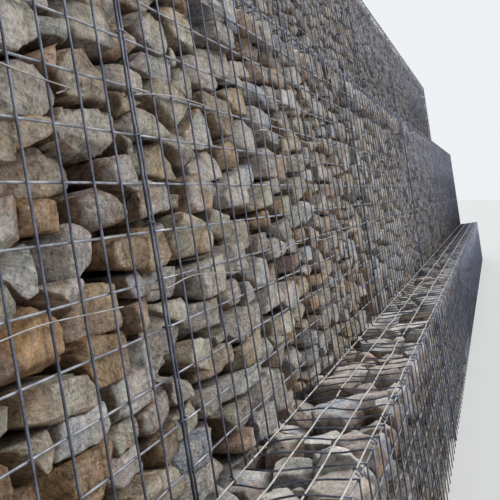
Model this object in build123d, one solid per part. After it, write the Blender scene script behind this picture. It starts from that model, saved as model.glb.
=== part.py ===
"""Stepped gabion wall: rock-filled baskets of welded wire mesh in three courses and six bays.

The wall leans back a little against the slope it would hold. Each course is set back
from the one below, which leaves a ledge of mesh-covered stone on top of each basket.
The model is laid out in the wall's own frame and then leaned and lifted into place:

    x  along the wall, from the outer end of the first bay
    y  into the wall, from the face of the middle course
    z  up the face, from the ledge that the middle course stands on

In the finished part +X runs along the wall, +Y into it and +Z is plumb. The origin is at
the centre of the bounding box, on the level underside at ground level.
"""
from build123d import *
from math import cos, radians, sin
import os

# Welded mesh
cell = 76.2             # pitch of the wires, both ways
wire = 4.0              # thickness of a wire
lid_edge_inset = 10.0   # from a panel's own plane back to the edge wire of the lid on it

# Baskets, in whole cells of the mesh
bay_cells = 26          # length of a basket
course_cells = 13       # height of a basket
ledge_cells = 3         # how far each course is set back from the one below
middle_depth_cells = 16  # from the face of the middle course to the back of the wall

# Wall
bay_count = 6
basket_gap = 10.4       # between the edge wires of two neighbouring baskets
exposed_height = 545.0  # of the lower course, from its ledge down the face to the ground
lean = 8.5              # degrees that the face leans back from plumb

# Sizes that follow
basket_length = bay_cells * cell
bay_pitch = basket_length + basket_gap
wall_length = bay_count * bay_pitch
ledge = ledge_cells * cell
back = middle_depth_cells * cell
mesh_layers = 2 * wire  # a line wire on a cross wire
course_height = course_cells * cell + wire + mesh_layers  # a basket's side and the lid on it


def plumb_height(y, z):
    """Height over the ledge's own corner, measured plumb, of a point of the wall's section."""
    return z * cos(radians(lean)) - y * sin(radians(lean))


def level_depth(y, z):
    """Distance into the wall, measured level, of a point of the wall's section."""
    return y * cos(radians(lean)) + z * sin(radians(lean))


ground = plumb_height(-ledge, -exposed_height)


def ground_at(y):
    """The z of the level ground where it meets the section at y."""
    return (ground + y * sin(radians(lean))) / cos(radians(lean))


class Course:
    """One row of baskets: where its face, its foot and its top are in the wall's frame."""

    def __init__(self, name, level):
        self.name = name
        self.face = level * ledge
        self.top = (level + 1) * course_height
        self.foot = None if level < 0 else level * course_height
        self.panel_top = self.top - mesh_layers

    def fill_foot(self, y):
        return ground_at(y) if self.foot is None else self.foot - mesh_layers

    def panel_foot(self, y):
        return ground_at(y) if self.foot is None else self.foot

    def row_heights(self):
        """Undersides of the line wires of a side panel, from the top wire down."""
        heights = [self.panel_top - wire - row * cell for row in range(course_cells + 1)]
        return [height for height in heights if height >= self.panel_foot(self.face)]


lower = Course("lower", -1)
middle = Course("middle", 0)
upper = Course("upper", 1)
courses = [lower, middle, upper]


def prism(x_start, x_end, corners):
    """A straight solid along the wall whose section has these (y, z) corners."""
    section = make_face(Polyline(*corners, close=True))
    return extrude(Plane.YZ.offset(x_start) * section, x_end - x_start)


def block(x_start, x_end, y_start, y_end, foot, top):
    """A block between two heights; foot is a function of y, so that it can follow the ground."""
    corners = [(y_start, foot(y_start)), (y_end, foot(y_end)), (y_end, top), (y_start, top)]
    return prism(x_start, x_end, corners)


def level(height):
    return lambda y: height


def bay_start(bay):
    return bay * bay_pitch


def first_wire(bay):
    """The x of a basket's first edge wire, at its centre."""
    return bay_start(bay) + basket_gap / 2


def fill(course, bay):
    """The packed stone of one basket, which fills it out to the mesh."""
    return block(bay_start(bay), bay_start(bay) + bay_pitch,
                 course.face + wire, back - wire, course.fill_foot, course.top - mesh_layers)


def uprights(course, y_start, cells_apart):
    """Upright wires of the side panels at y_start; cells_apart of 1 gives each wire."""
    solids = []
    for bay in range(bay_count):
        for step in range(0, bay_cells + 1, cells_apart):
            x = first_wire(bay) + step * cell
            solids.append(block(x - wire / 2, x + wire / 2, y_start, y_start + wire,
                                course.panel_foot, course.panel_top))
    return solids


def line_wires(y_start, heights):
    """Wires along the wall at y_start, one for each basket at each of these undersides."""
    solids = []
    for bay in range(bay_count):
        x_start = first_wire(bay) - wire / 2
        x_end = first_wire(bay) + basket_length + wire / 2
        for height in heights:
            solids.append(block(x_start, x_end, y_start, y_start + wire,
                                level(height), height + wire))
    return solids


def cross_wires(y_start, y_end, underside, cells_apart):
    """Wires of a lid that run into the wall; cells_apart of 1 gives each wire."""
    solids = []
    for bay in range(bay_count):
        for step in range(0, bay_cells + 1, cells_apart):
            x = first_wire(bay) + step * cell
            solids.append(block(x - wire / 2, x + wire / 2, y_start, y_end,
                                level(underside), underside + wire))
    return solids


def ledge_line_wires(course, next_face):
    """Line wires of the ledge: the lid's edge wire, one at each cell, one under the next face."""
    solids = line_wires(course.face + lid_edge_inset - wire / 2, [course.top - wire])
    for step in range(1, ledge_cells + 1):
        y = next_face - (ledge_cells - step) * cell
        y_start = y - wire if step == ledge_cells else y - wire / 2
        solids += line_wires(y_start, [course.top - wire])
    return solids


def diaphragm_uprights(course):
    """Front edge wires of the panels between neighbouring baskets, one for each joint."""
    solids = []
    for bay in range(1, bay_count):
        x = bay_start(bay)
        solids.append(block(x - wire / 2, x + wire / 2, course.face, course.face + wire,
                            course.panel_foot, course.panel_top))
    return solids


def end_uprights(outer_x):
    """Edge uprights of the end panels, front and back of each course, out to outer_x."""
    solids = []
    for course in courses:
        for y_start in (course.face + wire, back - 2 * wire):
            solids.append(block(outer_x, outer_x + wire, y_start, y_start + wire,
                                course.fill_foot, course.top - mesh_layers))
    return solids


def end_line_wires(outer_x):
    """Top and bottom wires of the end panels, which lie on the stone."""
    solids = []
    for course in courses:
        heights = [course.top - mesh_layers - wire]
        if course.foot is not None:
            heights.append(course.foot - mesh_layers)
        for height in heights:
            solids.append(block(outer_x, outer_x + wire, course.face + wire, back - wire,
                                level(height), height + wire))
    return solids


def model():
    """Every node of the wall in its own frame, by name."""
    nodes = {}
    for course in courses:
        for bay in range(bay_count):
            nodes[f"{course.name}_stone_fill_{bay + 1}"] = [fill(course, bay)]
    for course in courses:
        rows = course.row_heights()
        nodes[f"{course.name}_front_uprights"] = uprights(course, course.face - wire, 1)
        nodes[f"{course.name}_front_line_wires"] = line_wires(course.face, rows)
        nodes[f"{course.name}_diaphragm_uprights"] = diaphragm_uprights(course)
        edge_rows = rows[:1] if course.foot is None else [rows[0], rows[-1]]
        nodes[f"{course.name}_back_uprights"] = uprights(course, back, bay_cells)
        nodes[f"{course.name}_back_line_wires"] = line_wires(back - wire, edge_rows)
    for course, above in ((lower, middle), (middle, upper)):
        underside = course.top - mesh_layers
        nodes[f"{course.name}_ledge_cross_wires"] = cross_wires(
            course.face - wire, above.face + wire, underside, 1)
        nodes[f"{course.name}_ledge_line_wires"] = ledge_line_wires(course, above.face)
    nodes["top_lid_cross_wires"] = cross_wires(
        upper.face - wire, back + wire, upper.top - mesh_layers, bay_cells)
    nodes["top_lid_line_wires"] = (
        line_wires(upper.face + lid_edge_inset - wire / 2, [upper.top - wire])
        + line_wires(back - lid_edge_inset - wire / 2, [upper.top - wire]))
    nodes["left_end_uprights"] = end_uprights(-2 * wire)
    nodes["left_end_line_wires"] = end_line_wires(-wire)
    nodes["right_end_uprights"] = end_uprights(wall_length + wire)
    nodes["right_end_line_wires"] = end_line_wires(wall_length)
    return nodes


def placement():
    """Leans the wall back and puts the origin under the middle of its bounding box."""
    foremost = level_depth(lower.face - wire, ground_at(lower.face - wire))
    rearmost = level_depth(back + wire, upper.top - wire)
    return Location((-wall_length / 2, -(foremost + rearmost) / 2, -ground), (-lean, 0, 0))


os.makedirs("parts", exist_ok=True)
in_place = placement()
for name, solids in model().items():
    shape = solids[0] if len(solids) == 1 else Compound(solids)
    export_step(in_place * shape, f"parts/{name}.step")
print(f"wall {wall_length:.0f} mm long, bays at {bay_pitch:.1f} mm, "
      f"{plumb_height(upper.face, upper.top) - ground:.0f} mm high at the upper face")
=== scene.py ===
# %% [markdown]
# # A gabion wall
#
# A gabion is a basket of welded steel mesh, packed by hand with quarried stone. This wall
# stacks three courses of them. Each course is set back from the one below, so a ledge of
# mesh-covered stone shows on top of it, and the whole wall leans back a little.
#
# The frame holds each basket's stone as a plain block and each wire as a square bar. This
# script keeps their places and sizes, and makes the stones and the round wires.

# %% Load the frame
import math
import random

import bmesh
import bpy
import numpy as np
from mathutils import Matrix, Vector, kdtree, noise


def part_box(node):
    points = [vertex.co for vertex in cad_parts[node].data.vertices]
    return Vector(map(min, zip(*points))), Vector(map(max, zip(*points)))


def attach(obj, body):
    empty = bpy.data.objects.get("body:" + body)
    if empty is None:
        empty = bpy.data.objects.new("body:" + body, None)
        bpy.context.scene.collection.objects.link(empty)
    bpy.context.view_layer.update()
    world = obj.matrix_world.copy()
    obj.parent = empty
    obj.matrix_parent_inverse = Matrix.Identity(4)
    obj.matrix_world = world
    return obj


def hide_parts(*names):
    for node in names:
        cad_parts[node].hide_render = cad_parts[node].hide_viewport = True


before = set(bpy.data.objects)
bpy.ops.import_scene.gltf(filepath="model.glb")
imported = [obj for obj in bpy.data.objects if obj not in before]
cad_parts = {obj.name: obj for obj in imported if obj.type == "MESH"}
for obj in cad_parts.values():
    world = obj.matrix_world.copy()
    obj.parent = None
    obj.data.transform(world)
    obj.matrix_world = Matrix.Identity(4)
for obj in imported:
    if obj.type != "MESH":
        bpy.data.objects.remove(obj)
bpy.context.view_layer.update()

print("the frame holds", len(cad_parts), "nodes")

# %% [markdown]
# ## The wall's own frame
#
# A wall that leans is easiest to build upright and to lean afterwards. So every place below
# is given along the wall (x), into it from the middle course's face (y) and up its face (z),
# and one matrix turns it into the frame's own axes. The lengths are the real ones of such
# baskets: 3 inch mesh, and baskets of 26 by 13 cells, which is about 2 m by 1 m.

# %% Sizes of the mesh and the baskets, in metres
CELL = 0.0762
WIRE = 0.004
BAY_CELLS = 26
COURSE_CELLS = 13
LEDGE_CELLS = 3
DEPTH_CELLS = 16         # from the middle course's face to the back
BAYS = 6
BASKET_GAP = 0.0104      # between the edge uprights of two neighbours, centre to centre
LID_EDGE_INSET = 0.010   # from the face to the outer wire of a lid
LEAN = math.radians(8.5)
COURSES = ("lower", "middle", "upper")

BASKET_LENGTH = BAY_CELLS * CELL
PITCH = BASKET_LENGTH + BASKET_GAP
LEDGE = LEDGE_CELLS * CELL
LAYERS = 2 * WIRE        # thickness of a panel, whose wires lie on each other
COURSE_HEIGHT = COURSE_CELLS * CELL + WIRE + LAYERS
BACK = DEPTH_CELLS * CELL
WALL_LENGTH = BAYS * PITCH


def wall_matrix():
    """Wall frame to row frame, read from the place of the first middle block."""
    low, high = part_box("middle_stone_fill_1")
    cos, sin = math.cos(LEAN), math.sin(LEAN)
    shift_y = low.y - (WIRE * cos - LAYERS * sin)
    shift_z = low.z + (BACK - WIRE) * sin + LAYERS * cos
    return Matrix.Translation((low.x, shift_y, shift_z)) @ Matrix.Rotation(-LEAN, 4, "X")


WALL = wall_matrix()
GROUND_NORMAL = WALL.to_3x3().inverted() @ Vector((0, 0, 1))
GROUND_POINT = WALL.inverted() @ Vector((0, 0, 0))


def ground_at(y):
    """The z, up the face, at which the level ground crosses the wall's section at y."""
    return GROUND_POINT.z - GROUND_NORMAL.y * (y - GROUND_POINT.y) / GROUND_NORMAL.z


class Course:
    """Where one row of baskets has its face, foot and top."""

    def __init__(self, step):
        self.name = COURSES[step]
        self.step = step
        self.face = (step - 1) * LEDGE
        self.top = step * COURSE_HEIGHT
        self.foot = None if step == 0 else self.top - COURSE_HEIGHT
        self.panel_top = self.top - LAYERS

    def panel_foot(self, y):
        return ground_at(y) if self.foot is None else self.foot

    def rows(self):
        """Heights of the line wires' centres, from the top one down to the ground or foot."""
        first = self.panel_top - WIRE / 2
        heights = [first - row * CELL for row in range(COURSE_CELLS + 1)]
        return [height for height in heights if height > self.panel_foot(self.face)]


WALL_COURSES = [Course(step) for step in range(3)]
print("ground is at", round(ground_at(-LEDGE), 4), "below the ledge at the face")

# %% [markdown]
# ## The camera
#
# The picture is taken by someone who stands close to the first bay and looks along the wall.
# A camera in Blender looks along its own -Z with +Y up, so its matrix has the picture's
# right, its up and the reverse of its forward direction as columns.

# %% Camera beside the first bay
CAMERA_PLACE = (PITCH - 1.052, -0.509, 0.445)
CAMERA_YAW, CAMERA_PITCH, CAMERA_ROLL = (math.radians(a) for a in (18.61, 1.87, 8.94))
FOCAL_PIXELS, PICTURE_PIXELS, SENSOR = 741.0, 500, 36.0


def add_camera():
    forward = Vector((math.cos(CAMERA_YAW) * math.cos(CAMERA_PITCH),
                      math.sin(CAMERA_YAW) * math.cos(CAMERA_PITCH), -math.sin(CAMERA_PITCH)))
    level_right = Vector((math.sin(CAMERA_YAW), -math.cos(CAMERA_YAW), 0))
    level_down = forward.cross(level_right)
    right = math.cos(CAMERA_ROLL) * level_right + math.sin(CAMERA_ROLL) * level_down
    up = math.sin(CAMERA_ROLL) * level_right - math.cos(CAMERA_ROLL) * level_down
    turn = Matrix((right, up, -forward)).transposed().to_4x4()
    data = bpy.data.cameras.new("camera")
    data.sensor_width = SENSOR
    data.lens = FOCAL_PIXELS / PICTURE_PIXELS * SENSOR
    data.clip_start = 0.02
    camera = bpy.data.objects.new("camera", data)
    camera.matrix_world = WALL @ Matrix.Translation(CAMERA_PLACE) @ turn
    bpy.context.scene.collection.objects.link(camera)
    bpy.context.scene.camera = camera
    return camera


camera = add_camera()
TO_CAMERA = camera.matrix_world.inverted() @ WALL
VIEW_MARGIN = 30     # pixels round the picture that still count as in view
NEAREST = 0.1        # metres in front of the camera, from which on a point counts


def in_view(point):
    """Whether the camera has a point of the wall's frame in its picture, or close to it."""
    seen = TO_CAMERA @ point
    if seen.z > -NEAREST:
        return False
    reach = PICTURE_PIXELS / 2 + VIEW_MARGIN
    return max(abs(seen.x), abs(seen.y)) / -seen.z * FOCAL_PIXELS < reach


print("camera stands at", [round(c, 3) for c in camera.matrix_world.translation])

# %% [markdown]
# ## Shader maths as Python
#
# A finish is a tree of nodes. Wiring each one by hand is slow to write and to read, so a
# small class wraps a socket: a sum on it adds a Math node, and every other node comes from
# one method that takes its type, its settings and what feeds it.

# %% A small helper for materials
class Tap:
    """One output socket of a finish, with Python's operators for Math nodes."""

    def __init__(self, finish, socket):
        self.finish, self.socket = finish, socket

    def _math(self, operation, a, b):
        return self.finish.node("ShaderNodeMath", {"operation": operation}, {0: a, 1: b})

    def __add__(self, other):
        return self._math("ADD", self, other)

    def __radd__(self, other):
        return self._math("ADD", other, self)

    def __sub__(self, other):
        return self._math("SUBTRACT", self, other)

    def __rsub__(self, other):
        return self._math("SUBTRACT", other, self)

    def __mul__(self, other):
        return self._math("MULTIPLY", self, other)

    def __rmul__(self, other):
        return self._math("MULTIPLY", other, self)


class Finish:
    """A material whose nodes are added by node(), fed by numbers, colours or other taps."""

    def __init__(self, name):
        self.material = bpy.data.materials.new(name)
        self.material.use_nodes = True
        self.tree = self.material.node_tree
        self.shader = self.tree.nodes["Principled BSDF"]

    def feed(self, socket, value):
        if isinstance(value, Tap):
            self.tree.links.new(value.socket, socket)
        else:
            socket.default_value = value

    def node(self, kind, settings=None, values=None, output=0):
        node = self.tree.nodes.new(kind)
        for key, value in (settings or {}).items():
            if key == "stops":
                set_stops(node.color_ramp, value)
            else:
                setattr(node, key, value)
        for key, value in (values or {}).items():
            self.feed(node.inputs[key], value)
        return Tap(self, node.outputs[output])

    def mix(self, factor, a, b, blend="MIX"):
        return self.node("ShaderNodeMix", {"data_type": "RGBA", "blend_type": blend},
                         {0: factor, 6: a, 7: b}, output=2)

    def noise(self, vector, scale, detail=4.0, roughness=0.55):
        values = {"Vector": vector, "Scale": scale, "Detail": detail, "Roughness": roughness}
        return self.node("ShaderNodeTexNoise", None, values)

    def band(self, value, low, high):
        """0 below low, 1 above high and smooth between."""
        return self.node("ShaderNodeMapRange", {"interpolation_type": "SMOOTHSTEP"},
                         {0: value, 1: low, 2: high})


def set_stops(ramp, stops):
    ramp.interpolation = "LINEAR"
    while len(ramp.elements) < len(stops):
        ramp.elements.new(1.0)
    for element, (place, colour) in zip(ramp.elements, stops):
        element.position = place
        element.color = colour


def srgb(red, green, blue):
    """A colour as a screen shows it, 0 to 255, in the linear values that shaders use."""
    def linear(level):
        share = level / 255
        return share / 12.92 if share <= 0.04045 else ((share + 0.055) / 1.055) ** 2.4
    return linear(red), linear(green), linear(blue), 1.0


print("mid grey, 128 on a screen, is", round(srgb(128, 128, 128)[0], 3), "in a shader")

# %% [markdown]
# ## Sandstone
#
# The stones come from one quarry but not from one bed: most are buff or grey-brown, some
# ochre where iron has stained them, a few pink, khaki or blue-grey. A stone carries three
# attributes. `kind` holds three numbers that pick its colour, its lightness and how rusty it
# is. The lightness differs at random, and is also painted shade, darker for the lowest course
# and for the plainer skin in the gaps, and painted light, paler for the stones of a ledge.
# `grain` holds its own turned and shifted coordinates, so that no pattern runs on from one
# stone into the next. The third, a mask of wear and light, is 1 where the surface faces the
# weather and the light, and 0 on the sides and in the gaps. The weather bleaches the first,
# and rust and soil stay on the others, but the mask also paints light and shade: a stone's
# lightness counts more on the faces that it marks, and the soil on the others is partly
# painted shade.

# %% Sandstone finish
SAND_COLOURS = [
    (0.00, srgb(138, 115, 96)), (0.12, srgb(162, 137, 104)), (0.25, srgb(169, 153, 131)),
    (0.37, srgb(160, 157, 138)), (0.48, srgb(177, 165, 152)), (0.59, srgb(162, 155, 148)),
    (0.70, srgb(182, 167, 161)), (0.80, srgb(155, 159, 154)), (0.90, srgb(193, 187, 178)),
    (1.00, srgb(156, 162, 172))]
RUST_COLOUR = srgb(156, 114, 70)
# Soil on the sides of a stone and in the gaps, which also stands in as painted shade there
SOIL_AND_SHADE_COLOUR = srgb(84, 66, 58)
BLEACHED_COLOUR = srgb(189, 184, 176)


def sandstone():
    f = Finish("sandstone")
    grain = f.node("ShaderNodeAttribute", {"attribute_name": "grain"}, output="Vector")
    kind = f.node("ShaderNodeAttribute", {"attribute_name": "kind"}, output="Vector")
    worn = f.node("ShaderNodeAttribute", {"attribute_name": "worn"}, output="Fac")
    parts = f.node("ShaderNodeSeparateXYZ", None, {0: kind})
    pick, light, rusty = (Tap(f, parts.socket.node.outputs[i]) for i in range(3))
    patch = f.noise(grain, 9.0, 5.0, 0.6)
    base = f.node("ShaderNodeValToRGB", {"stops": SAND_COLOURS},
                  {0: pick + (patch - 0.5) * 1.3})
    cloud = f.noise(grain, 8.0, 6.0, 0.64)
    bleached = f.mix(f.band(cloud + worn * 0.25, 0.55, 0.95) * 0.6, base, BLEACHED_COLOUR)
    stain = f.band(f.noise(grain, 9.0, 7.0, 0.66) + rusty * 0.32 - worn * 0.18, 0.46, 0.62)
    rust = f.mix(stain * 0.62, bleached, RUST_COLOUR)
    # Soil on the faces away from the weather and the light, which is partly painted shade
    deep = (1.0 - worn) * f.band(f.noise(grain, 13.0, 4.0), 0.2, 0.65)
    soiled_and_shaded = f.mix(deep * 0.68, rust, SOIL_AND_SHADE_COLOUR)
    beds = f.node("ShaderNodeVectorMath", {"operation": "MULTIPLY"},
                  {0: grain, 1: (1.0, 1.0, 7.0)})
    mottle = f.noise(grain, 55.0, 6.0, 0.7)
    speckle = f.noise(grain, 160.0, 4.0, 0.65)
    pits = f.band(f.noise(grain, 130.0, 4.0, 0.65), 0.56, 0.72)
    layer = f.noise(beds, 20.0, 4.0)
    # Painted light and shade: a stone's lightness counts more on the faces that face the weather
    # and the light, so those are painted paler on a light stone and darker on a dark one. The
    # pits are painted darker too, painted shade in them.
    tone = (0.80 + light * (worn * 0.26 + 0.16) + (mottle - 0.5) * 1.7 + (speckle - 0.5) * 1.9
            + (layer - 0.5) * 0.7 - pits * 0.2)
    shade = f.node("ShaderNodeCombineXYZ", None, {0: tone, 1: tone, 2: tone})
    colour = f.mix(1.0, soiled_and_shaded, shade, "MULTIPLY")
    f.feed(f.shader.inputs["Base Color"], colour)
    f.feed(f.shader.inputs["Roughness"], 0.8 + mottle * 0.18)
    f.shader.inputs["Specular IOR Level"].default_value = 0.25
    height = f.noise(grain, 60.0, 8.0, 0.7) + layer * 0.7 + speckle * 0.25 - pits * 0.25
    bump = f.node("ShaderNodeBump", None, {"Strength": 1.0, "Distance": 0.009, "Height": height})
    f.feed(f.shader.inputs["Normal"], bump)
    return f.material


def packed_shade():
    """What shows deep between the stones: more stone, painted dark brown as the shade there."""
    f = Finish("packed_shade")
    place = f.node("ShaderNodeTexCoord", output="Object")
    lumps = f.noise(place, 14.0, 4.0)
    # Painted shade: dark brown lumps for the shade between the stones
    colour = f.mix(lumps, srgb(50, 41, 35), srgb(27, 22, 19))
    f.feed(f.shader.inputs["Base Color"], colour)
    f.shader.inputs["Roughness"].default_value = 0.95
    bump = f.node("ShaderNodeBump", None, {"Strength": 1.0, "Distance": 0.02, "Height": lumps})
    f.feed(f.shader.inputs["Normal"], bump)
    return f.material


SANDSTONE = sandstone()
PACKED_SHADE = packed_shade()
print("the sandstone has", len(SANDSTONE.node_tree.nodes), "nodes")

# %% [markdown]
# ## Galvanised wire
#
# New galvanised wire is bright. After a season outdoors the zinc turns dull, with a faint
# blue or purple cast and paler blotches of zinc carbonate. The copies of the zinc below
# differ in lightness as painted light and shade: the uprights and the cross wires, which
# face sideways, get a darker copy, painted shade, the line wires a paler one and the wires
# on top of a lid the palest, painted light from the sky above them.

# %% Wire finish
def zinc(name, dark, pale, roughness, metallic=0.7):
    f = Finish(name)
    place = f.node("ShaderNodeTexCoord", output="Object")
    blotch = f.noise(place, 26.0, 4.0, 0.6)
    fine = f.noise(place, 400.0, 2.0)
    colour = f.mix(f.band(blotch + (fine - 0.5) * 0.4, 0.35, 0.68), dark, pale)
    f.feed(f.shader.inputs["Base Color"], colour)
    f.shader.inputs["Metallic"].default_value = metallic
    f.feed(f.shader.inputs["Roughness"], roughness + blotch * 0.2)
    bump = f.node("ShaderNodeBump", None, {"Strength": 0.3, "Distance": 0.0006, "Height": fine})
    f.feed(f.shader.inputs["Normal"], bump)
    return f.material


# Lit and shaded copies of one zinc: the uprights' darker copy is painted shade, the line wires'
# paler one and a lid's palest are painted light.
UPRIGHT_ZINC_SHADED = zinc("upright_zinc_shaded", srgb(80, 84, 98), srgb(128, 132, 147), 0.36)
LINE_ZINC_LIT = zinc("line_zinc_lit", srgb(124, 127, 134), srgb(174, 175, 181), 0.34)
LID_ZINC_LIT = zinc("lid_zinc_lit", srgb(172, 170, 168), srgb(214, 211, 207), 0.45, 0.25)
TIE_ZINC = zinc("tie_zinc", srgb(140, 136, 134), srgb(186, 182, 180), 0.34)
print("materials:", [m.name for m in bpy.data.materials])

# %% [markdown]
# ## Where the stones go
#
# A mason fills the faces of a gabion by hand: the big flat stones first, then small ones
# where a hole is left. The script does the same. It throws stones of falling size at each
# face and keeps a throw that lands clear of the rest. Rows would look like brickwork, and
# plain scatter would give stones of one size. Only the outer skin of the basket is packed in
# this way, with a plainer skin behind it that shows through the gaps.

# %% Sides of a basket
SKIN = 0.125                 # depth of a face stone
LID_SKIN = 0.085             # depth of a stone on a ledge or the top
LID_ROW = 0.062              # height of a face, below the lid, that the lid's own stones fill
LID_TUCK = 0.07              # how far a ledge's stones go in under the next course
X, Y, Z = 0, 1, 2


class Side:
    """A side of a basket that shows: a rectangle to lay stones in, and what faces outwards."""

    def __init__(self, name, axis, sign, surface, along, up, width, height, skin):
        self.name, self.axis, self.sign, self.surface = name, axis, sign, surface
        self.along, self.up, self.width, self.height, self.skin = along, up, width, height, skin
        self.outward, self.across, self.rising = Vector(), Vector(), Vector()
        self.outward[axis] = sign
        self.across[along] = 1
        self.rising[up] = 1

    def place(self, u, v, depth):
        point = Vector()
        point[self.axis] = self.surface - self.sign * depth
        point[self.along] = self.width[0] + u
        point[self.up] = self.height[0] + v
        return point


class Basket:
    """One basket's room in the wall's frame, and its sides that show."""

    def __init__(self, course, bay):
        self.course, self.bay = course, bay
        self.x = (bay * PITCH, (bay + 1) * PITCH)
        self.y = (course.face + WIRE, BACK - WIRE)
        foot = ground_at(self.y[0]) if course.step == 0 else course.foot - LAYERS
        self.z = (foot, course.top - LAYERS)
        self.sides = list(self.make_sides())

    def make_sides(self):
        top_course = self.course.step == 2
        back_foot = ground_at(self.y[1]) if self.course.step == 0 else self.z[0]
        row_top = self.z[1] - LID_ROW
        back_top = row_top if top_course else self.z[1]
        yield Side("front", Y, -1, self.y[0], X, Z, self.x, (self.z[0], row_top), SKIN)
        yield Side("back", Y, 1, self.y[1], X, Z, self.x, (back_foot, back_top), SKIN)
        lid_end = self.y[1] if top_course else self.course.face + LEDGE + LID_TUCK
        yield Side("lid", Z, 1, self.z[1], X, Y, self.x, (self.y[0], lid_end), LID_SKIN)
        inside = (self.y[0] + SKIN, self.y[1] - SKIN)
        if self.bay == 0:
            yield Side("left end", X, -1, self.x[0], Y, Z, inside, (self.z[0], back_top), SKIN)
        if self.bay == BAYS - 1:
            yield Side("right end", X, 1, self.x[1], Y, Z, inside, (self.z[0], back_top), SKIN)


print("the first basket shows its", [side.name for side in Basket(WALL_COURSES[1], 0).sides])

# %% Throwing stones at a side
# Half the height of the largest and of the smallest stone, and how much of a side there is
# for each throw, in square metres once the side's widths are divided by FLATNESS
FACE_STONES = (0.041, 0.015, 0.0030)
LID_STONES = (0.027, 0.014, 0.0016)
INNER_STONES = (0.041, 0.024, 0.0045)
FLATNESS = 2.4               # how much wider than high a stone lies
THROWS = 40                  # tries at a place for each stone
NEST = 0.84                  # share of their sizes that two stones keep apart
SHRINK = 0.7                 # below 1 the stones get smaller fast at first, and then slowly
ALONE, TAKEN = 9.0, 99.0     # what a try scores far from every stone, and on top of one


def scatter(rng, side, largest, smallest, room_each):
    """Places on a side, as distance across, distance up and half height of each stone."""
    width, height = side.width[1] - side.width[0], side.height[1] - side.height[0]
    tall = 1.0 if side.up == Z else FLATNESS
    count = max(3, int(width * height / FLATNESS / tall / room_each))
    kept = np.zeros((0, 3))
    for step in range(count):
        size = largest - (largest - smallest) * (step / count) ** SHRINK
        throws = rng.random((THROWS, 2)) * (width, height)
        apart = np.hypot((throws[:, None, 0] - kept[None, :, 0]) / FLATNESS,
                         (throws[:, None, 1] - kept[None, :, 1]) / tall)
        spare = (apart - NEST * (size + kept[None, :, 2])).min(axis=1, initial=ALONE)
        spare[spare < 0] = TAKEN
        best = int(spare.argmin())
        if spare[best] < TAKEN:
            kept = np.vstack([kept, [*throws[best], size]])
    return kept


SEED_DEPTH = 0.055           # how deep behind the mesh an outer stone has its seed
SEED_SPREAD = (0.8, 1.25)    # times that depth
INNER_SKIN = (0.075, 0.21)   # where the plainer skin behind lies
NEAR_BAYS = 2                # bays beside the camera, which get that second skin, as both ends do
REACH = (0.19, 0.19, 0.15)   # how far a stone may stretch from its seed along x, y and z
SUNK = 0.3                   # how far below the ground a stone may start, before it is cut level


class Layer:
    """One skin of stones of a basket: their seeds, and a tree that finds a seed's neighbours."""

    squash = Vector((1 / FLATNESS, 1 / FLATNESS, 1))

    def __init__(self, basket, inner):
        self.basket, self.inner, self.seeds = basket, inner, []
        rng = np.random.default_rng(900 * basket.course.step + 31 * basket.bay + inner + 5)
        for side in basket.sides:
            lid = side.name == "lid"
            if not inner:
                self.lay(rng, side, scatter(rng, side, *(LID_STONES if lid else FACE_STONES)))
            elif side.name != "back" and (basket.bay < NEAR_BAYS or side.axis == X):
                self.lay(rng, side, scatter(rng, side, *INNER_STONES))
        self.tree = kdtree.KDTree(len(self.seeds))
        for index, (seed, side, size) in enumerate(self.seeds):
            self.tree.insert(seed * self.squash, index)
        self.tree.balance()

    def lay(self, rng, side, spots):
        usual = 0.5 * sum(INNER_SKIN) if self.inner else SEED_DEPTH
        for u, v, size in spots:
            seed = side.place(u, v, usual * rng.uniform(*SEED_SPREAD))
            if seed.z > ground_at(seed.y) or self.basket.course.step:
                self.seeds.append((seed, side, size))

    def room(self, seed, side):
        """The box that a stone may fill: its basket's outer faces and its skin's depth."""
        basket = self.basket
        low = [basket.x[0], basket.y[0], basket.z[0] - SUNK * (basket.course.step == 0)]
        high = [basket.x[1], basket.y[1], basket.z[1]]
        low = [max(low[i], seed[i] - REACH[i]) for i in range(3)]
        high = [min(high[i], seed[i] + REACH[i]) for i in range(3)]
        start, end = INNER_SKIN if self.inner else (0.0, side.skin)
        if side.sign < 0:
            low[side.axis] = side.surface + start
            high[side.axis] = side.surface + end
        else:
            high[side.axis] = side.surface - start
            low[side.axis] = side.surface - end
        low[Y] = max(low[Y], basket.y[0] + start)
        high[Z] = min(high[Z], basket.z[1] - start)
        return Vector(low), Vector(high)


sample = Layer(Basket(WALL_COURSES[1], 0), False)
print("its outer skin takes", len(sample.seeds), "stones")

# %% [markdown]
# ## Splitting one stone
#
# A stone starts as a box and is split by planes, just as a quarry splits it: `bisect_plane`
# cuts, and `edgeloop_fill` closes the wound. The first planes lie between the stone and its
# neighbours, a little askew, so that two stones touch at some places and leave a wedge of
# dark at others. Then come the tilted front face, broken corners, which leave the three-sided
# gaps, and a bevel. The stones near the camera also get a finer skin, softened and then
# pushed in and out by noise.

# %% Cutting a stone
TOUCHING = 1e-5      # metres within which two places count as one


def cut(bm, point, normal):
    """Keeps the side of the plane that the normal points away from, and closes the cut."""
    reach = normal.dot(point)
    if all(normal.dot(v.co) <= reach + TOUCHING for v in bm.verts):
        return
    result = bmesh.ops.bisect_plane(bm, geom=bm.verts[:] + bm.edges[:] + bm.faces[:], dist=1e-6,
                                    plane_co=point, plane_no=normal, clear_outer=True)
    edges = [g for g in result["geom_cut"] if isinstance(g, bmesh.types.BMEdge)]
    if len(edges) > 2:
        bmesh.ops.edgeloop_fill(bm, edges=edges)


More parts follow.
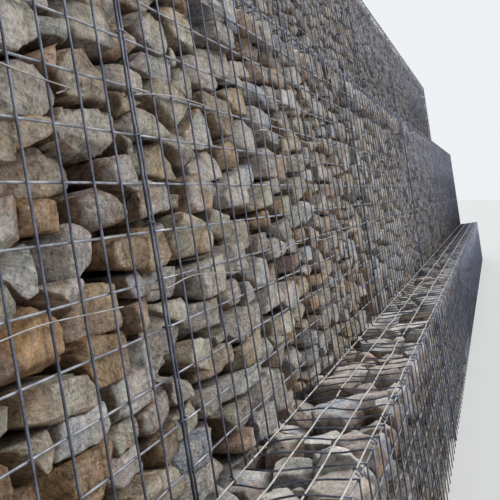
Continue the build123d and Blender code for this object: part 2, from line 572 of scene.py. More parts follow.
def cut_share(bm, normal, share):
    """Cuts off what lies past a share of the way from the middle to the furthest corner."""
    if not bm.verts:
        return
    middle = sum((v.co for v in bm.verts), Vector()) / len(bm.verts)
    furthest = max(normal.dot(v.co - middle) for v in bm.verts)
    cut(bm, middle + normal * (furthest * share), normal)


trial = bmesh.new()
bmesh.ops.create_cube(trial, size=1.0)
cut_share(trial, Vector((1, 1, 1)).normalized(), 0.8)
print("a cube with one corner broken off has", len(trial.faces), "faces")
trial.free()

# %% Cutting a stone from its neighbours
NEIGHBOURS = 16        # seeds nearby that a stone is cut against, itself counted
LEAST_SHARE = 0.1      # of the way to a neighbour, which a small stone keeps beside a large one
SQUARENESS = 2.2       # above 1 it turns such a plane level or upright, for blocks and not lenses
PLANE_SKEW = 0.13      # how far a plane between two stones leans off that
TURN = 0.09            # how far a stone lies off level, in radians
TIGHT_GAP, WIDE_GAP, WIDE_SHARE = (0.0005, 0.003), (0.006, 0.016), 0.2


def cut_from_neighbours(bm, rng, layer, index):
    seed, side, size = layer.seeds[index]
    own = seed * layer.squash
    turn = Matrix.Rotation(rng.gauss(0, TURN), 3, side.outward)
    for place, other, distance in layer.tree.find_n(own, NEIGHBOURS):
        if other == index or distance < TOUCHING:
            continue
        lead = (size ** 2 - layer.seeds[other][2] ** 2) / (2 * distance)
        direction = (place - own) / distance
        point = own + direction * max(LEAST_SHARE * distance, distance / 2 + lead)
        skew = Vector([rng.uniform(-PLANE_SKEW, PLANE_SKEW) for _ in range(3)])
        squared = Vector([math.copysign(abs(c) ** SQUARENESS, c) for c in direction])
        normal = (turn @ (squared * layer.squash).normalized() + skew).normalized()
        point = Vector((point.x * FLATNESS, point.y * FLATNESS, point.z))
        gap = rng.uniform(*(WIDE_GAP if rng.random() < WIDE_SHARE else TIGHT_GAP))
        cut(bm, point - normal * gap, normal)


# %% Breaking its face and corners
# Each break: how far its plane leans off the side, and the share of the stone that it leaves
FACE_BREAK = ((0.0, 0.30), (0.84, 1.0))
LID_BREAK = ((0.4, 1.9), (0.60, 0.88))
SIDE_BREAK = ((0.4, 1.6), (0.72, 0.93))
CHIP = ((0.3, 3.0), (0.90, 0.98))
LID_BREAKS, SIDE_BREAKS, CORNERS = 5, (1, 2, 3), (1, 2, 2, 3)   # how many, or one of these
CORNER_SWING, CORNER_LEAN, CORNER_LEFT = (-0.5, 0.5), (-0.15, 0.35), (0.72, 0.95)
SPLIT_CHANCE, SPLIT_LEAN, SPLIT_LEFT = 0.45, (0.5, 1.4), (0.56, 0.82)
TO_FRONT = Vector((0, -1, 0))


def shape_stone(bm, rng, side, at_edge, chips):
    """Breaks the face, the outline and the corners of a stone that fills its cell."""
    def break_off(kind, facing=side.outward):
        lean, left = kind
        turn = rng.uniform(0, 2 * math.pi)
        sideways = math.cos(turn) * side.across + math.sin(turn) * side.rising
        cut_share(bm, (facing + sideways * rng.uniform(*lean)).normalized(), rng.uniform(*left))

    break_off(FACE_BREAK)
    if at_edge:
        break_off(FACE_BREAK, TO_FRONT)
    quarter = rng.randrange(4)
    for step in range(rng.choice(CORNERS)):
        turn = (quarter + step + 0.5) * math.pi / 2 + rng.uniform(*CORNER_SWING)
        corner = (math.cos(turn) * side.across + math.sin(turn) * side.rising
                  + side.outward * rng.uniform(*CORNER_LEAN))
        cut_share(bm, corner.normalized(), rng.uniform(*CORNER_LEFT))
    if side.name == "lid":
        for _ in range(LID_BREAKS):
            break_off(LID_BREAK)
    else:
        if rng.random() < SPLIT_CHANCE:
            split = side.across * rng.choice((-1, 1)) * rng.uniform(*SPLIT_LEAN)
            cut_share(bm, (side.outward + split).normalized(), rng.uniform(*SPLIT_LEFT))
        for _ in range(rng.choice(SIDE_BREAKS)):
            break_off(SIDE_BREAK)
    for _ in range(chips):
        break_off(CHIP)


# %% Rounding and roughening a stone
NEAR_REACH, MIDDLE_REACH = 3.0, 4.5     # metres from the camera
ROUND_MERGE = 0.005                     # corners nearer than this are made one before a bevel
FINE_SHARE = 0.0105                     # longest edge of the finer skin, for each metre away
FINEST, COARSEST = 0.011, 0.022         # and the limits of that edge
DIVISIONS = 5                           # times, at most, that an edge is halved
SHOWN_DEPTH = 0.055                     # of the stone, which the finer skin covers
SOFTENED, LID_SOFTENED = 0.3, 0.05      # how far a point moves towards its neighbours
ROUGHNESS = ((15, 0.0044), (38, 0.0032), (95, 0.0016))   # waves for each metre, and how deep
LID_ROUGHER = 1.3                       # times as deep on a stone of a ledge
DRAWN_IN = 0.0008                       # how far the skin is moved in besides
SLACK = 0.001                           # how far a stone may stand out of its block


def round_edges(bm, offset):
    bmesh.ops.remove_doubles(bm, verts=bm.verts[:], dist=ROUND_MERGE)
    bmesh.ops.bevel(bm, geom=bm.edges[:], offset=offset, offset_type="OFFSET", segments=1,
                    profile=0.5, affect="EDGES", clamp_overlap=True, material=-1)


def divide_shown(bm, side, edge):
    """Divides the part of a stone that shows until no edge there is longer than edge."""
    surface = max(side.outward.dot(v.co) for v in bm.verts)
    for _ in range(DIVISIONS):
        long_edges = [e for e in bm.edges if e.calc_length() > edge
                      and side.outward.dot(e.verts[0].co) > surface - SHOWN_DEPTH]
        if not long_edges:
            break
        bmesh.ops.subdivide_edges(bm, edges=long_edges, cuts=1)
        bmesh.ops.triangulate(bm, faces=[f for f in bm.faces if len(f.verts) > 4])
    bmesh.ops.triangulate(bm, faces=bm.faces[:])


def roughen(bm, rng, side, edge):
    """Softens the edges of a stone's fine skin, and pushes it in and out along its normals."""
    lid = side.name == "lid"
    fine = [v for v in bm.verts if all(e.calc_length() < 2 * edge for e in v.link_edges)]
    bmesh.ops.smooth_vert(bm, verts=fine, factor=LID_SOFTENED if lid else SOFTENED,
                          use_axis_x=True, use_axis_y=True, use_axis_z=True)
    bm.normal_update()
    shift = Vector([rng.uniform(0, 50) for _ in range(3)])
    for v in fine:
        push = sum(depth * noise.noise(v.co * waves + shift) for waves, depth in ROUGHNESS)
        v.co += v.normal * (push * (LID_ROUGHER if lid else 1.0) - DRAWN_IN)


def keep_inside(bm, basket):
    """Brings back what noise has pushed through the mesh or below the ground."""
    for v in bm.verts:
        v.co.y = max(basket.y[0] - SLACK, min(basket.y[1] + SLACK, v.co.y))
        v.co.z = min(basket.z[1] + SLACK, v.co.z)
        below = GROUND_NORMAL.dot(v.co - GROUND_POINT)
        if below < 0:
            v.co -= GROUND_NORMAL * below


# %% [markdown]
# ## One mesh for each basket
#
# Thousands of separate objects are slow and awkward, so the stones of a basket are joined
# into one mesh, which stands for that basket's block. How finely a stone is made follows
# from how near it is to the camera.

# %% Building a stone
CAMERA_IN_WALL = Vector(CAMERA_PLACE)
THINNEST = 0.02                  # least room in which a stone is cut
FEWEST_CORNERS = 6               # of a stone that is kept
NEAR_CHIPS = 3                   # small breaks besides, on a stone near the camera
RECESS = (0.004, 0.024, 0.024)   # how far some face stones of each course stay behind the mesh
LID_RECESS = 0.040               # and some stones of a lid
RECESS_BIAS = 1.8                # above 1 most of them stay near the mesh
SMALL_STONE = 0.024              # half height up to which a stone may sit deeper still
SMALL_RECESS = 0.015             # and by how much
NEAR_ROUND, MIDDLE_ROUND = (0.002, 0.005), (0.003, 0.006)
LID_SHARPER = 0.5                # times as round on a stone of a ledge
FAR_MERGE = 0.006                # corners nearer than this are made one on a far stone


def block(low, high):
    """A box between two corners, as a bmesh."""
    bm = bmesh.new()
    middle = Matrix.Translation((low + high) / 2)
    bmesh.ops.create_cube(bm, size=1.0, matrix=middle @ Matrix.Diagonal((*(high - low), 1.0)))
    return bm


def dress_stone(bm, rng, side, distance, shown):
    """Rounds and roughens a stone as far as the camera can tell."""
    smooth = shown and distance < MIDDLE_REACH
    if smooth and distance < NEAR_REACH:
        edge = min(COARSEST, max(FINEST, FINE_SHARE * distance))
        round_edges(bm, rng.uniform(*NEAR_ROUND) * (LID_SHARPER if side.name == "lid" else 1.0))
        divide_shown(bm, side, edge)
        roughen(bm, rng, side, edge)
    elif smooth:
        round_edges(bm, rng.uniform(*MIDDLE_ROUND))
    else:
        bmesh.ops.remove_doubles(bm, verts=bm.verts[:], dist=FAR_MERGE)
    for f in bm.faces:
        f.smooth = smooth


def make_stone(layer, index):
    """A stone as a bmesh, or None where its neighbours leave it no room."""
    basket = layer.basket
    seed, side, size = layer.seeds[index]
    rng = random.Random(index * 31 + basket.bay * 5003 + basket.course.step * 70001 + layer.inner)
    low, high = layer.room(seed, side)
    if min(high - low) < THINNEST:
        return None
    bm = block(low, high)
    cut_from_neighbours(bm, rng, layer, index)
    if len(bm.verts) < FEWEST_CORNERS:
        bm.free()
        return None
    distance = (seed - CAMERA_IN_WALL).length
    shown = side.name in ("front", "lid") and in_view(seed) and not layer.inner
    at_edge = side.name == "lid" and seed.y < basket.y[0] + SEED_DEPTH
    shape_stone(bm, rng, side, at_edge, NEAR_CHIPS if shown and distance < NEAR_REACH else 0)
    deepest = LID_RECESS if side.name == "lid" else RECESS[basket.course.step]
    recess = deepest * rng.random() ** RECESS_BIAS
    if size < SMALL_STONE:
        recess += SMALL_RECESS * rng.random()
    bmesh.ops.translate(bm, verts=bm.verts[:], vec=-side.outward * recess)
    if basket.course.step == 0:
        cut(bm, GROUND_POINT, -GROUND_NORMAL)
    if len(bm.verts) < FEWEST_CORNERS:
        bm.free()
        return None
    dress_stone(bm, rng, side, distance, shown)
    keep_inside(bm, basket)
    mark_stone(bm, rng, layer, seed, side)
    return bm


# Painted shade: the lowest course is painted darker, as less light reaches it, and the upper one
# a little darker as well.
COURSE_SHADE = (1.3, 0.0, 0.45)   # how much darker each course's stone is painted
SHADED = 2.0                      # painted shade: how much darker the plainer skin in the gaps is
GREYER = 0.15                     # how much greyer each basket's load is than the last one's,
GREYEST = 0.45                    # up to this
LID_LIGHT, LID_RUST = (1.6, 4.0), (-0.7, 0.4)   # of a ledge's stones: bleached, and painted light


def mark_stone(bm, rng, layer, seed, side):
    """Gives a stone its kind, its wear and its own turned coordinates for its patterns.
    Its mask of wear is also painted light on the faces that it marks and painted shade on the
    others.
    """
    bmesh.ops.recalc_face_normals(bm, faces=bm.faces[:])
    bm.normal_update()
    grain = bm.verts.layers.float_vector.new("grain")
    kind = bm.verts.layers.float_vector.new("kind")
    worn = bm.verts.layers.float.new("worn")
    turn = (Matrix.Rotation(rng.uniform(-0.5, 0.5), 3, "Y")
            @ Matrix.Rotation(rng.uniform(-3, 3), 3, "Z"))
    shift = Vector([rng.uniform(0, 30) for _ in range(3)])
    lid = side.name == "lid" and not layer.inner
    grey = min(GREYEST, GREYER * layer.basket.bay)
    # A ledge's stones get a paler lightness, partly painted light on their tops; the lowest
    # course and the plainer skin a darker one, painted shade.
    if lid:
        pick = rng.uniform(0.5 + 0.5 * grey, 1.0)
        picked = Vector((pick, rng.uniform(*LID_LIGHT), rng.uniform(*LID_RUST)))
    else:
        shade = COURSE_SHADE[layer.basket.course.step] + SHADED * layer.inner
        picked = Vector((rng.uniform(grey, 1.0), rng.random() - shade, rng.random() - 2 * grey))
    for v in bm.verts:
        v[grain] = turn @ (v.co - seed) + shift
        v[kind] = picked
        # The mask: on a ledge, how far a face turns up to the sky, elsewhere how far it faces out
        # or up. Besides wear it is painted light on those faces and painted shade on the others,
        # and the plainer skin gets none of it.
        if lid:
            facing = 1.5 * v.normal.z - 0.5
        else:
            facing = max(side.outward.dot(v.normal), 0.8 * v.normal.z)
        v[worn] = 0.0 if layer.inner else min(1.0, max(0.0, facing))


stone = make_stone(sample, 0)
print("its first stone has", len(stone.faces), "faces")
stone.free()

# %% Building a basket
TWO_SKINS = 0.9 * INNER_SKIN[1]   # how deep behind a side with two skins the dark core starts,
ONE_SKIN = 0.86 * SKIN            # behind a side with one,
LID_CORE = 0.9 * LID_SKIN         # and below a lid with one
CORE_SUNK = 0.1                   # how far below the ground it starts, before it is cut level
CORE_GAP = 0.001                  # and how far above the basket below


def add_core(whole, basket):
    """The dark inside of the basket, behind the stones: its darkness is painted shade."""
    near = basket.bay < NEAR_BAYS
    inset = TWO_SKINS if near else ONE_SKIN
    low = Vector((basket.x[0], basket.y[0] + inset, basket.z[0]))
    high = Vector((basket.x[1], basket.y[1] - ONE_SKIN, basket.z[1]))
    if basket.bay == 0:
        low.x += TWO_SKINS
    if basket.bay == BAYS - 1:
        high.x -= TWO_SKINS
    high.z -= inset if near else LID_CORE
    if basket.course.step == 0:
        low.z = ground_at(basket.y[0]) - CORE_SUNK
    else:
        low.z += CORE_GAP
    bm = block(low, high)
    if basket.course.step == 0:
        cut(bm, GROUND_POINT, -GROUND_NORMAL)
    for f in bm.faces:
        f.material_index = 1
    join(whole, bm)


def join(whole, bm):
    """Adds one bmesh to another and frees it."""
    scratch = bpy.data.meshes.new("scratch")
    bm.to_mesh(scratch)
    bm.free()
    whole.from_mesh(scratch)
    bpy.data.meshes.remove(scratch)


def piece_from(bm, name, materials):
    """Leans a bmesh of the wall's frame into place and makes an object of it."""
    bmesh.ops.transform(bm, matrix=WALL, verts=bm.verts[:])
    mesh = bpy.data.meshes.new(name)
    bm.to_mesh(mesh)
    bm.free()
    for material in materials:
        mesh.materials.append(material)
    piece = bpy.data.objects.new(name, mesh)
    bpy.context.scene.collection.objects.link(piece)
    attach(piece, "root")
    return piece


def triangles(piece):
    return sum(len(p.vertices) - 2 for p in piece.data.polygons)


def build_basket(course, bay):
    basket = Basket(course, bay)
    whole = bmesh.new()
    add_core(whole, basket)
    layers = [Layer(basket, False)]
    if bay < NEAR_BAYS or bay == BAYS - 1:
        layers.append(Layer(basket, True))
    count = 0
    for layer in layers:
        for index in range(len(layer.seeds)):
            stone = make_stone(layer, index)
            if stone:
                join(whole, stone)
                count += 1
    piece = piece_from(whole, f"{course.name}_stones_{bay + 1}", [SANDSTONE, PACKED_SHADE])
    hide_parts(f"{course.name}_stone_fill_{bay + 1}")
    return count, triangles(piece)


total_stones, total_triangles = 0, 0
for course in WALL_COURSES:
    for bay in range(BAYS):
        count, faces = build_basket(course, bay)
        total_stones += count
        total_triangles += faces
        print(course.name, bay + 1, count, "stones", faces, "triangles")
print("all stones:", total_stones, "triangles:", total_triangles)

# %% [markdown]
# ## Round wires
#
# Welded mesh is two sets of straight round wires, one laid on the other. A thin cylinder
# does for each. Near the camera it is divided along its length and nudged off line, because
# no wire of a packed basket stays dead straight: the stones push it about.

# %% Wire helpers
WOBBLE = 0.0014
WAVES = 0.6                        # of that wobble, for each cell
ASIDE = Vector((7.7, 3.1, 0))      # where the noise for the second direction is read
ROUND_BAYS = 3                     # bays whose wires are made finely


def add_wire(whole, start, end, radius=WIRE / 2, sides=6, steps=1, wobble=0.0, phase=0.0):
    """A round wire from start to end, divided into steps and pushed off line by wobble."""
    run = end - start
    matrix = (Matrix.Translation((start + end) / 2)
              @ run.to_track_quat("Z", "Y").to_matrix().to_4x4())
    bm = bmesh.new()
    bmesh.ops.create_cone(bm, cap_ends=True, segments=sides, radius1=radius, radius2=radius,
                          depth=run.length)
    if steps > 1:
        long_edges = [e for e in bm.edges
                      if abs(e.verts[0].co.z - e.verts[1].co.z) > run.length / 2]
        bmesh.ops.subdivide_edges(bm, edges=long_edges, cuts=steps - 1)
        for v in bm.verts:
            place = Vector((phase, 0.0, v.co.z / CELL * WAVES))
            held = min(1.0, (0.5 * run.length - abs(v.co.z)) / CELL)
            v.co.x += wobble * held * noise.noise(place)
            v.co.y += wobble * held * noise.noise(place + ASIDE)
    for f in bm.faces:
        f.smooth = len(f.verts) == 4
    bmesh.ops.transform(bm, matrix=matrix, verts=bm.verts[:])
    join(whole, bm)


def first_wire(bay):
    return bay * PITCH + BASKET_GAP / 2


def detail(bay, cells):
    """How finely a wire of a bay is made. Far bays keep what add_wire does by itself."""
    if bay >= ROUND_BAYS:
        return {}
    return {"sides": 8 if bay < NEAR_BAYS else 6, "steps": cells, "wobble": WOBBLE}


def wire_piece(whole, name, material, *nodes):
    piece = piece_from(whole, name, [material])
    if nodes:
        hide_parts(*nodes)
    print(name, triangles(piece), "triangles")


trial = bmesh.new()
add_wire(trial, Vector((0, 0, 0)), Vector((0, 0, COURSE_CELLS * CELL)), **detail(0, COURSE_CELLS))
print("an upright beside the camera has", len(trial.faces), "faces")
trial.free()

# %% Panels of the front and the back
GROUND_TRIM = WIRE * math.sin(LEAN)     # keeps a leaning wire's square foot above the ground


def wire_foot(course, y):
    return course.panel_foot(y) + (GROUND_TRIM if course.step == 0 else 0)


def add_uprights(whole, course, y, bay, steps, fine):
    for step in steps:
        x = first_wire(bay) + step * CELL
        how = detail(bay, COURSE_CELLS) if fine else {}
        add_wire(whole, Vector((x, y, wire_foot(course, y))), Vector((x, y, course.panel_top)),
                 phase=x * 9.1, **how)


def add_line_wires(whole, bay, y, heights, fine):
    x_start = first_wire(bay) - WIRE / 2
    x_end = x_start + BASKET_LENGTH + WIRE
    for height in heights:
        how = detail(bay, BAY_CELLS) if fine else {}
        add_wire(whole, Vector((x_start, y, height)), Vector((x_end, y, height)),
                 phase=height * 13.7 + bay, **how)


def build_panels():
    every = range(BAY_CELLS + 1)
    for course in WALL_COURSES:
        for side, y_upright, y_line in (("front", course.face - WIRE / 2, course.face + WIRE / 2),
                                        ("back", BACK + WIRE / 2, BACK - WIRE / 2)):
            uprights, lines = bmesh.new(), bmesh.new()
            for bay in range(BAYS):
                add_uprights(uprights, course, y_upright, bay, every, side == "front")
                rows = [z for z in course.rows() if z > course.panel_foot(y_line) + WIRE]
                add_line_wires(lines, bay, y_line, rows, side == "front")
            wire_piece(uprights, f"{course.name}_{side}_upright_wires", UPRIGHT_ZINC_SHADED,
                       f"{course.name}_{side}_uprights")
            wire_piece(lines, f"{course.name}_{side}_long_wires", LINE_ZINC_LIT,
                       f"{course.name}_{side}_line_wires")
        edges = bmesh.new()
        y_edge = course.face + WIRE / 2
        for bay in range(1, BAYS):
            add_wire(edges, Vector((bay * PITCH, y_edge, wire_foot(course, y_edge))),
                     Vector((bay * PITCH, y_edge, course.panel_top)))
        wire_piece(edges, f"{course.name}_diaphragm_edge_wires", UPRIGHT_ZINC_SHADED,
                   f"{course.name}_diaphragm_uprights")


build_panels()

# %% [markdown]
# ## Ledges and lid
#
# On a lid the wires along the wall lie on top of the cross wires. They are held less tightly
# than those of a face, so they wander more, and the outer one is doubled by the front
# panel's top wire just below it. They get the palest zinc, painted light from the sky that
# falls on them, and the cross wires under them the uprights' darker zinc, painted shade.

# %% Lids of the ledges and of the top
EDGE_WOBBLE = 0.002      # of a lid's outer wires, which rings hold
LEDGE_WOBBLE = 0.0045    # of the wires between them
NEAR_CROSS = {"sides": 8, "steps": 8, "wobble": 0.016}    # a cross wire near the camera


def lid_wires(course, y_start, y_end, y_lines, name, nodes):
    cross, lines = bmesh.new(), bmesh.new()
    z_cross = course.top - LAYERS + WIRE / 2
    z_line = course.top - WIRE / 2
    for bay in range(BAYS):
        for step in range(BAY_CELLS + 1):
            x = first_wire(bay) + step * CELL
            how = NEAR_CROSS if bay < NEAR_BAYS else {}
            add_wire(cross, Vector((x, y_start, z_cross)), Vector((x, y_end, z_cross)),
                     phase=x * 5.3, **how)
        for y, slack in y_lines:
            x_start = first_wire(bay) - WIRE / 2
            near = course.step < 2 and bay < ROUND_BAYS
            add_wire(lines, Vector((x_start, y, z_line)),
                     Vector((x_start + BASKET_LENGTH + WIRE, y, z_line)),
                     sides=8 if near else 5, steps=2 * BAY_CELLS if near else BAY_CELLS // 2,
                     wobble=slack, phase=y * 31 + bay * 1.7)
    wire_piece(cross, f"{name}_cross_mesh", UPRIGHT_ZINC_SHADED, nodes[0])
    wire_piece(lines, f"{name}_long_mesh", LID_ZINC_LIT, nodes[1])


def build_lids():
    for course in WALL_COURSES[:2]:
        face, next_face = course.face, course.face + LEDGE
        y_lines = [(face + LID_EDGE_INSET, EDGE_WOBBLE), (next_face - WIRE / 2, 0.0)]
        y_lines += [(next_face - step * CELL, LEDGE_WOBBLE) for step in range(1, LEDGE_CELLS)]
        lid_wires(course, face - WIRE, next_face + WIRE, y_lines, f"{course.name}_ledge",
                  (f"{course.name}_ledge_cross_wires", f"{course.name}_ledge_line_wires"))
    upper = WALL_COURSES[2]
    y_lines = [(upper.face + LID_EDGE_INSET, EDGE_WOBBLE), (BACK - LID_EDGE_INSET, EDGE_WOBBLE)]
    y_lines += [(upper.face + step * CELL, LEDGE_WOBBLE) for step in range(1, COURSE_CELLS)]
    lid_wires(upper, upper.face - WIRE, BACK + WIRE, y_lines, "top_lid",
              ("top_lid_cross_wires", "top_lid_line_wires"))


build_lids()

# %% [markdown]
# ## End panels
#
# The panels at the two ends of the wall are cut from the same mesh, with the uprights out.

# %% End panels
def build_ends():
    for side, x_line, x_upright in (("left", -WIRE / 2, -1.5 * WIRE),
                                    ("right", WALL_LENGTH + WIRE / 2, WALL_LENGTH + 1.5 * WIRE)):
        uprights, lines = bmesh.new(), bmesh.new()
        for course in WALL_COURSES:
            y = course.face + 1.5 * WIRE
            while y < BACK:
                foot = wire_foot(course, y) if course.step == 0 else course.foot - LAYERS
                add_wire(uprights, Vector((x_upright, y, foot)),
                         Vector((x_upright, y, course.panel_top)))
                y += CELL
            for z in course.rows():
                start, end = course.face + WIRE, BACK - WIRE
                if course.step == 0 and z - WIRE < ground_at(start):
                    continue
                if course.step == 0:
                    on_ground = (z - WIRE - GROUND_POINT.z) * -GROUND_NORMAL.z / GROUND_NORMAL.y
                    end = min(end, on_ground + GROUND_POINT.y)
                add_wire(lines, Vector((x_line, start, z)), Vector((x_line, end, z)))
        wire_piece(uprights, f"{side}_end_upright_wires", UPRIGHT_ZINC_SHADED, f"{side}_end_uprights")
        wire_piece(lines, f"{side}_end_long_wires", LINE_ZINC_LIT, f"{side}_end_line_wires")


build_ends()

# %% [markdown]
# ## Rings that hold the baskets together
#
# Where two panels meet, a pneumatic tool closes C-shaped rings of thin wire round their edge
# wires, every 110 to 150 mm. A ring is a small circle spun most of the way round, and then
# stretched sideways to take two or three wires side by side.

# %% Rings
RING_WIRE = 0.0015                           # radius of a ring's own wire
RING_STEP, FOOT_RING_STEP = 2 * CELL, 1.5 * CELL
FIRST_RING, LAST_RING = 0.9 * CELL, 0.03     # below the top of a joint, and above its foot
RING_SWEEP = math.radians(345)
FINE_RING, PLAIN_RING = (5, 14), (3, 8)      # sides of its wire, and steps round it
JOINT_SLACK, EDGE_SLACK = 0.0004, 0.0003     # between a ring and the wires that it holds


def add_ring(whole, centre, along, across, reach, stretch, turn, fine):
    """An open ring round a bundle that runs along, stretched by stretch each way across."""
    sides, steps = FINE_RING if fine else PLAIN_RING
    bm = bmesh.new()
    start = Matrix.Rotation(turn, 4, "Z") @ Matrix.Translation((reach, 0, 0))
    start = start @ Matrix.Rotation(math.pi / 2, 4, "X")
    bmesh.ops.create_circle(bm, segments=sides, radius=RING_WIRE, matrix=start)
    bmesh.ops.spin(bm, geom=bm.verts[:] + bm.edges[:], cent=(0, 0, 0), axis=(0, 0, 1),
                   angle=RING_SWEEP, steps=steps)
    bmesh.ops.holes_fill(bm, edges=[e for e in bm.edges if e.is_boundary], sides=0)
    bmesh.ops.recalc_face_normals(bm, faces=bm.faces[:])
    for v in bm.verts:
        v.co.x += math.copysign(stretch, v.co.x)
    for f in bm.faces:
        f.smooth = True
    along = along.normalized()
    across = (across - along * across.dot(along)).normalized()
    matrix = Matrix((across, along.cross(across), along)).transposed().to_4x4()
    matrix.translation = centre
    bmesh.ops.transform(bm, matrix=matrix, verts=bm.verts[:])
    join(whole, bm)


def build_joint_rings():
    """Rings round the three wires side by side where two baskets of a course meet."""
    rng = random.Random(5)
    whole = bmesh.new()
    reach = WIRE + RING_WIRE + JOINT_SLACK
    stretch = BASKET_GAP / 2 - WIRE / 2
    for course in WALL_COURSES:
        for y_middle in (course.face, BACK):
            for bay in range(1, BAYS):
                fine = y_middle < BACK and bay < ROUND_BAYS
                z = course.panel_top - FIRST_RING
                while z > course.panel_foot(y_middle) + LAST_RING:
                    tilt = Vector((rng.uniform(-0.2, 0.35), rng.uniform(-0.1, 0.1), 1))
                    centre = Vector((bay * PITCH, y_middle, z + rng.uniform(-0.01, 0.01)))
                    add_ring(whole, centre, tilt, Vector((1, 0, 0)), reach, stretch,
                             rng.uniform(0, 6), fine)
                    z -= RING_STEP
    wire_piece(whole, "joint_rings", UPRIGHT_ZINC_SHADED)


def build_edge_rings():
    """Rings along each lid's outer edge, and along the foot of the course that stands on it."""
    rng = random.Random(6)
    whole = bmesh.new()
    reach = WIRE / 2 + RING_WIRE + EDGE_SLACK
    for course in WALL_COURSES:
        spots = [(course.face + LID_EDGE_INSET / 2 + WIRE / 4, course.panel_top + WIRE / 2,
                  LID_EDGE_INSET - WIRE / 2, LAYERS, RING_STEP)]
        if course.step < 2:
            spots.append((course.face + LEDGE, course.top, WIRE, WIRE, FOOT_RING_STEP))
        for y, z, wide, high, step in spots:
            stretch = math.hypot(wide, high) / 2
            for bay in range(BAYS):
                x = first_wire(bay) + CELL * 0.5
                while x < first_wire(bay) + BASKET_LENGTH:
                    tilt = Vector((1, rng.uniform(-0.25, 0.25), rng.uniform(-0.15, 0.15)))
                    centre = Vector((x + rng.uniform(-0.012, 0.012), y, z))
                    add_ring(whole, centre, tilt, Vector((0, wide, high)), reach, stretch,
                             rng.uniform(0, 6), bay < ROUND_BAYS)
                    x += step
    wire_piece(whole, "edge_rings", UPRIGHT_ZINC_SHADED)


build_joint_rings()
build_edge_rings()

# %% [markdown]
# ## Cross ties
#
# At a third and two thirds of its height a basket is tied across, so that the stone can't
# make its face bulge. Each tie is a thinner, brighter wire that comes out through the mesh,
# passes over a few uprights just below a line wire and hooks back in. A NURBS curve gives
# its soft bends, and is made a mesh here, because the wall's lean is applied to meshes.

# %% Ties
TIE_WIRE = 0.0012                # radius of a tie's wire
TIE_ROWS = (4.86, 8.80)          # in cells up from the foot
# Where each tie starts, in cells from the first upright, how many it crosses, and its arch
TIES = ((0.10, 4.6, 0.012), (8.1, 2.8, 0.004), (13.6, 3.4, -0.004), (19.9, 3.8, 0.006))


def add_bent_wire(whole, points, radius):
    curve = bpy.data.curves.new("bent", "CURVE")
    curve.dimensions = "3D"
    curve.bevel_depth = radius
    curve.bevel_resolution = 1
    curve.resolution_u = 3
    curve.use_fill_caps = True
    spline = curve.splines.new("NURBS")
    spline.points.add(len(points) - 1)
    for spot, point in zip(spline.points, points):
        spot.co = (*point, 1.0)
    spline.order_u = 3
    spline.use_endpoint_u = True
    bent = bpy.data.objects.new("bent", curve)
    mesh = bpy.data.meshes.new_from_object(bent)
    whole.from_mesh(mesh)
    bpy.data.objects.remove(bent)
    bpy.data.curves.remove(curve)
    bpy.data.meshes.remove(mesh)


def tie_route(x, z, run, face, arch, slope):
    """The points of a tie: out from behind the mesh, over it, and back in."""
    front = face - WIRE - TIE_WIRE
    return [(x, face + 0.03, z), (x, face + 0.002, z), (x + 0.004, front - 0.001, z),
            (x + 0.3 * run, front, z + arch), (x + 0.7 * run, front, z + 0.6 * arch + slope),
            (x + run - 0.004, front - 0.001, z + slope), (x + run, face + 0.002, z + slope),
            (x + run - 0.012, face + 0.012, z + slope - 0.004)]


def build_ties():
    """Ties across the front of each basket of the middle and upper courses.
    Each starts and ends behind an upright.
    """
    rng = random.Random(11)
    whole = bmesh.new()
    for course in WALL_COURSES[1:]:
        for bay in range(BAYS):
            for row in TIE_ROWS:
                for start, cells, arch in TIES:
                    x = first_wire(bay) + (start + rng.uniform(0, 0.8) * (start > 1)) * CELL
                    z = course.foot + row * CELL + rng.uniform(-0.006, 0.006)
                    slope = rng.uniform(-0.012, 0.012)
                    route = tie_route(x, z, cells * CELL, course.face, arch, slope)
                    add_bent_wire(whole, route, TIE_WIRE)
    for face in whole.faces:
        face.smooth = True
    wire_piece(whole, "cross_ties", TIE_ZINC)


build_ties()

# %% [markdown]
# ## Floor and light
#
# A plain pale floor and a soft, even sky, like an overcast day: a broad sun above and to the
# right of the camera gives the stones their shape, and the world fills the shade. The camera
# sees a pale backdrop in place of the sky, so that the background stays light without any
# more light on the wall.

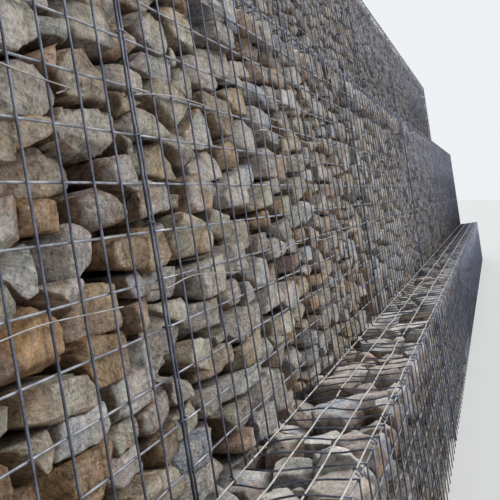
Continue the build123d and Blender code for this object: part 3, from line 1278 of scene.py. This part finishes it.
# %% Floor, sky and sun
FLOOR_COLOUR = (0.80, 0.80, 0.79, 1.0)
FLOOR_HALF, FLOOR_DROP = 60.0, 0.001     # half its width, and how far it lies below the wall
SKY_COLOUR, SKY_STRENGTH = (0.93, 0.96, 1.0, 1.0), 0.52
BACKDROP_COLOUR = (0.86, 0.88, 0.90, 1.0)
SUN_STRENGTH, SUN_WIDTH = 2.1, math.radians(32)
SUN_TURN = (math.radians(46), 0, math.radians(30))


def add_floor():
    bm = bmesh.new()
    bmesh.ops.create_grid(bm, x_segments=1, y_segments=1, size=FLOOR_HALF)
    mesh = bpy.data.meshes.new("floor")
    bm.to_mesh(mesh)
    bm.free()
    f = Finish("floor_plain")
    f.shader.inputs["Base Color"].default_value = FLOOR_COLOUR
    f.shader.inputs["Roughness"].default_value = 0.9
    mesh.materials.append(f.material)
    floor = bpy.data.objects.new("floor", mesh)
    floor.location.z = -FLOOR_DROP
    bpy.context.scene.collection.objects.link(floor)


def add_sky():
    world = bpy.data.worlds.new("sky")
    bpy.context.scene.world = world
    world.use_nodes = True
    tree = world.node_tree
    light = tree.nodes["Background"]
    light.inputs["Color"].default_value = SKY_COLOUR
    light.inputs["Strength"].default_value = SKY_STRENGTH
    backdrop = tree.nodes.new("ShaderNodeBackground")
    backdrop.inputs["Color"].default_value = BACKDROP_COLOUR
    path = tree.nodes.new("ShaderNodeLightPath")
    seen = path.outputs["Is Camera Ray"]
    for other in ("Is Glossy Ray", "Is Transmission Ray"):
        either = tree.nodes.new("ShaderNodeMath")
        either.operation = "MAXIMUM"
        tree.links.new(seen, either.inputs[0])
        tree.links.new(path.outputs[other], either.inputs[1])
        seen = either.outputs[0]
    mix = tree.nodes.new("ShaderNodeMixShader")
    tree.links.new(seen, mix.inputs[0])
    tree.links.new(light.outputs[0], mix.inputs[1])
    tree.links.new(backdrop.outputs[0], mix.inputs[2])
    tree.links.new(mix.outputs[0], tree.nodes["World Output"].inputs["Surface"])


def add_sun():
    data = bpy.data.lights.new("soft_sun", "SUN")
    data.energy = SUN_STRENGTH
    data.angle = SUN_WIDTH
    sun = bpy.data.objects.new("soft_sun", data)
    sun.rotation_euler = SUN_TURN
    bpy.context.scene.collection.objects.link(sun)


add_floor()
add_sky()
add_sun()
bpy.context.scene.view_settings.view_transform = "Standard"
print("lights:", [light.name for light in bpy.data.lights])
